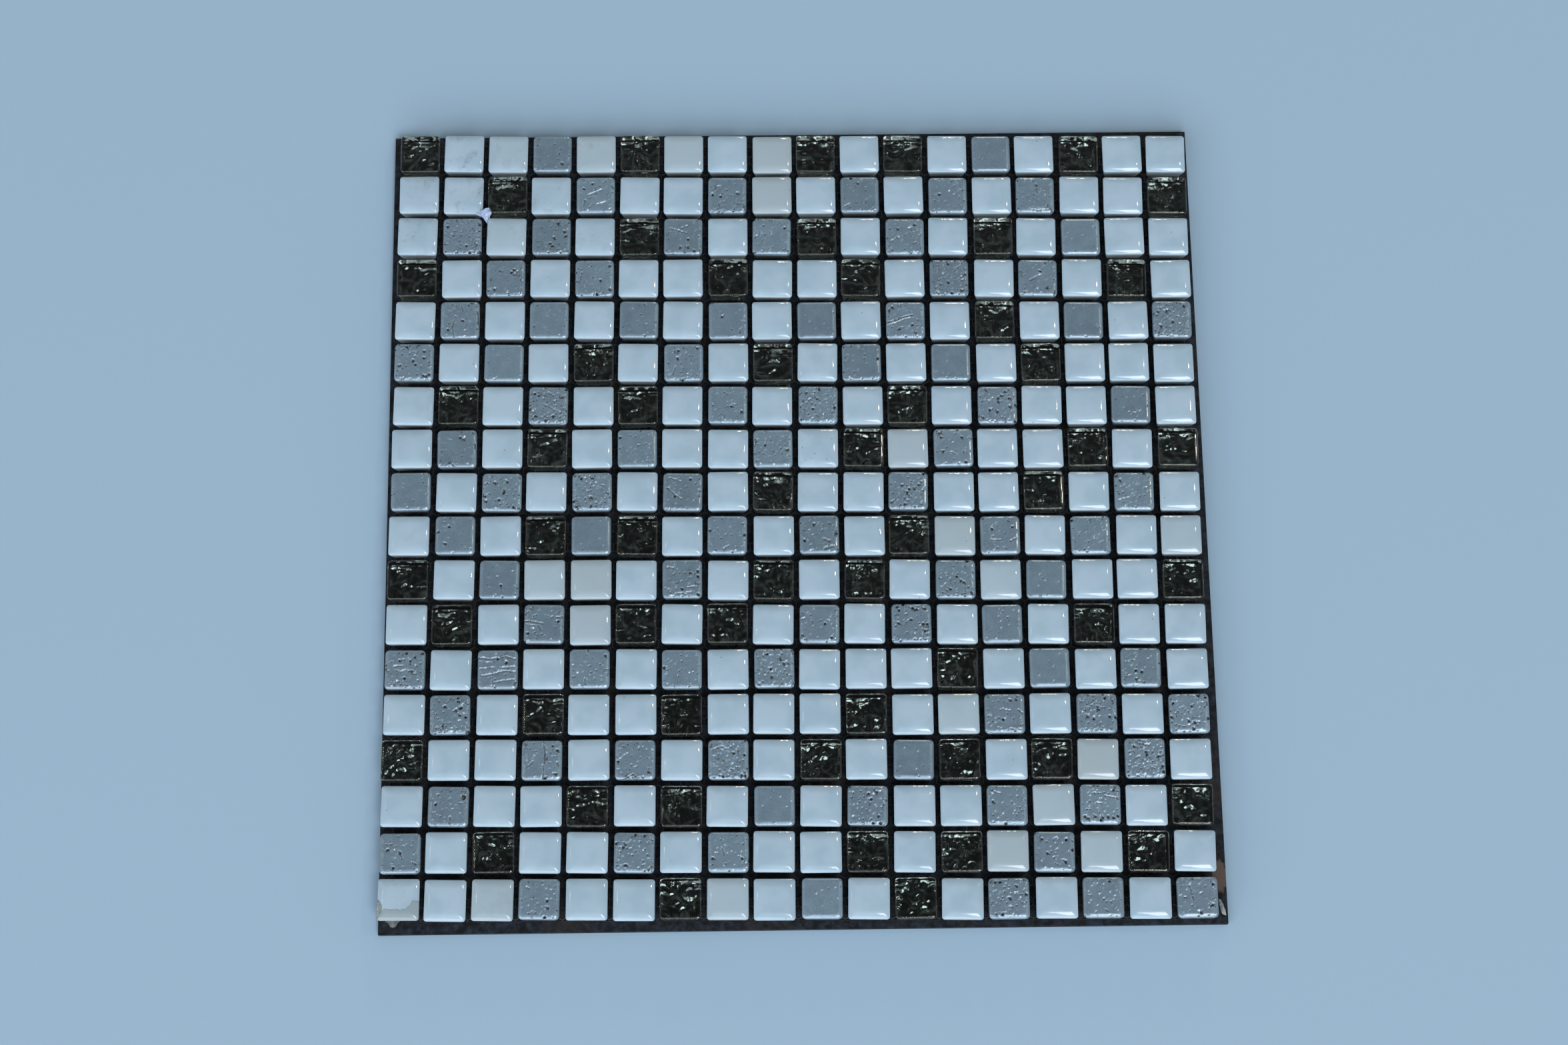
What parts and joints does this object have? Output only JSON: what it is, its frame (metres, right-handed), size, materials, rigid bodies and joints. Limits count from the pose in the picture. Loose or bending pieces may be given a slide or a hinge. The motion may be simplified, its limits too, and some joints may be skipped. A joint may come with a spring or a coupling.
{
  "type": "mosaic wall tile",
  "caption": "Square mosaic wall tile: small white glazed, pitted silver-grey and dark glass chips with rounded corners, laid on a net glued to a thin black board.",
  "frame": {"origin": "middle of the board's underside", "axes": "+Z out of the chips' faces, +Y towards the first row of chips, +X along the rows"},
  "size_m": [0.3032, 0.3042, 0.0114],
  "materials": {
    "white_glaze": "glossy cool white glaze, flat with softly cushioned edges, over a pressed porcelain body",
    "silver_glaze": "satin silver-grey metallic glaze with fine sparkle, pits and cracks, over a pressed ceramic body",
    "dark_glass": "clear pressed glass over a crinkled near-black foil back, with bright window reflections",
    "net_fibre": "dark grey knitted fibre net, set in glue",
    "black_board": "thin fibreboard with a matt black face, brown where the black is torn"
  },
  "bodies": {
    "root": {"backing_board": "black_board", "mesh_net": "net_fibre", "white_chips_row_01": "white_glaze", "silver_chips_row_01": "silver_glaze", "glass_chips_row_01": "dark_glass", "white_chips_row_02": "white_glaze", "silver_chips_row_02": "silver_glaze", "glass_chips_row_02": "dark_glass", "white_chips_row_03": "white_glaze", "silver_chips_row_03": "silver_glaze", "glass_chips_row_03": "dark_glass", "white_chips_row_04": "white_glaze", "silver_chips_row_04": "silver_glaze", "glass_chips_row_04": "dark_glass", "white_chips_row_05": "white_glaze", "silver_chips_row_05": "silver_glaze", "glass_chips_row_05": "dark_glass", "white_chips_row_06": "white_glaze", "silver_chips_row_06": "silver_glaze", "glass_chips_row_06": "dark_glass", "white_chips_row_07": "white_glaze", "silver_chips_row_07": "silver_glaze", "glass_chips_row_07": "dark_glass", "white_chips_row_08": "white_glaze", "silver_chips_row_08": "silver_glaze", "glass_chips_row_08": "dark_glass", "white_chips_row_09": "white_glaze", "silver_chips_row_09": "silver_glaze", "glass_chips_row_09": "dark_glass", "white_chips_row_10": "white_glaze", "silver_chips_row_10": "silver_glaze", "glass_chips_row_10": "dark_glass", "white_chips_row_11": "white_glaze", "silver_chips_row_11": "silver_glaze", "glass_chips_row_11": "dark_glass", "white_chips_row_12": "white_glaze", "silver_chips_row_12": "silver_glaze", "glass_chips_row_12": "dark_glass", "white_chips_row_13": "white_glaze", "silver_chips_row_13": "silver_glaze", "glass_chips_row_13": "dark_glass", "white_chips_row_14": "white_glaze", "silver_chips_row_14": "silver_glaze", "glass_chips_row_14": "dark_glass", "white_chips_row_15": "white_glaze", "silver_chips_row_15": "silver_glaze", "glass_chips_row_15": "dark_glass", "white_chips_row_16": "white_glaze", "silver_chips_row_16": "silver_glaze", "glass_chips_row_16": "dark_glass", "white_chips_row_17": "white_glaze", "silver_chips_row_17": "silver_glaze", "glass_chips_row_17": "dark_glass", "white_chips_row_18": "white_glaze", "silver_chips_row_18": "silver_glaze", "glass_chips_row_18": "dark_glass"}
  },
  "joints": []
}
